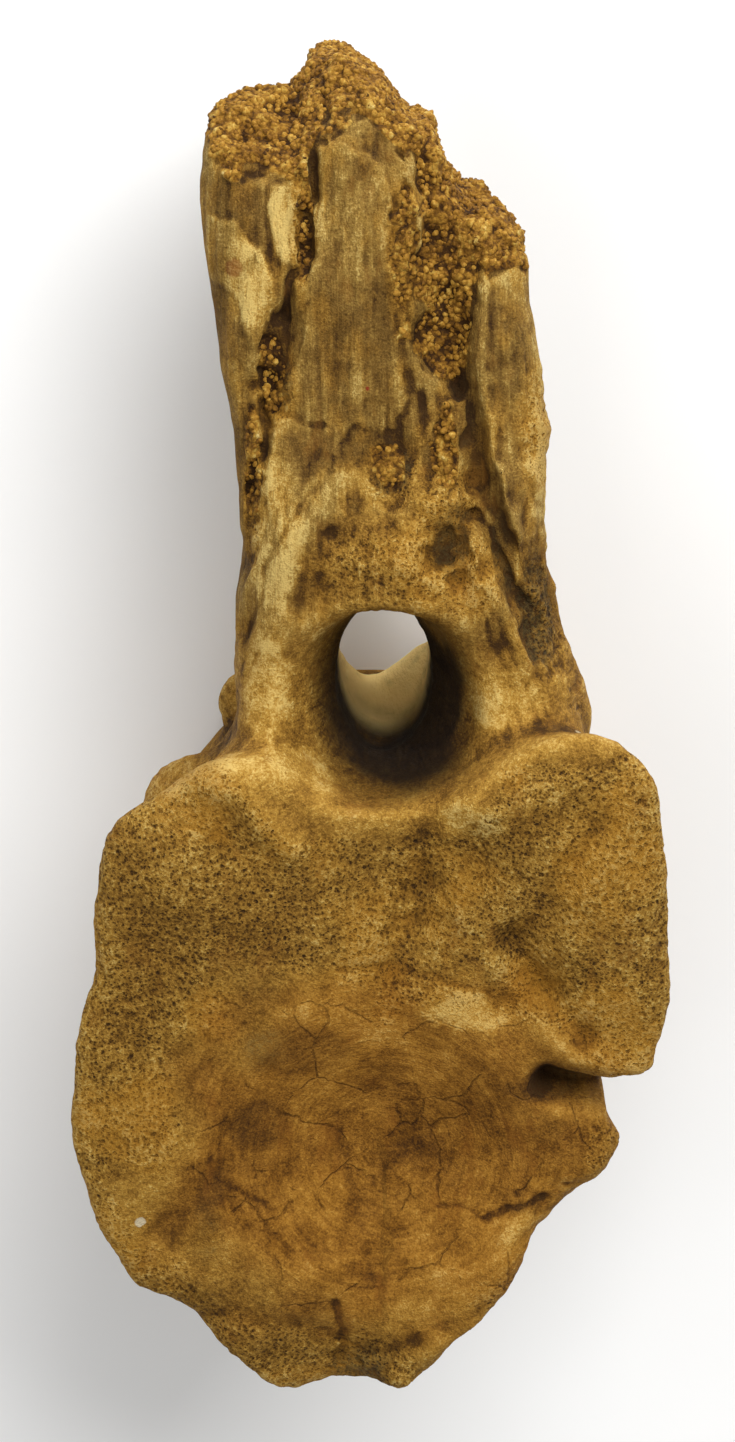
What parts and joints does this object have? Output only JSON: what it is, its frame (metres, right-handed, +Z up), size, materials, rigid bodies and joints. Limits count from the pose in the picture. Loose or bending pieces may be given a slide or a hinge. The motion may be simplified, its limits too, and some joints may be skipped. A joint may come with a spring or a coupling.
{
  "type": "fossil dinosaur tail vertebra",
  "caption": "Weathered tail vertebra of a large dinosaur: drum-like body with hollow ends, an arch over the spinal canal, and a tall spine whose tip is broken off.",
  "frame": {"origin": "On the floor, under the middle of the bounding box. The bone lies on the rear face of its body, as it would rest on a table.", "axes": "+Z up, out of the front face of the body. +Y along the neural spine to its broken tip. +X to the right as the front face is looked at from above with the spine pointing up the page."},
  "size_m": [0.1028, 0.2314, 0.0864],
  "materials": {
    "bone_body": "porous golden-brown fossil bone, darker and smoother in the hollow of the face",
    "bone_arch": "worn fossil bone, golden brown with dark pits, darkest inside the canal",
    "bone_spine": "smooth khaki-beige fossil bone surface with fine lengthwise grain and brown stains",
    "rock_matrix": "coarse orange-gold sand grains cemented to the broken bone"
  },
  "bodies": {
    "root": {"centrum": "bone_body", "pedicle_left": "bone_arch", "pedicle_right": "bone_arch", "neural_arch_roof": "bone_arch", "neural_spine": "bone_spine", "spine_lamina_left": "bone_spine", "spine_lamina_right": "bone_spine", "matrix_fracture": "rock_matrix", "matrix_tip": "rock_matrix"}
  },
  "joints": []
}
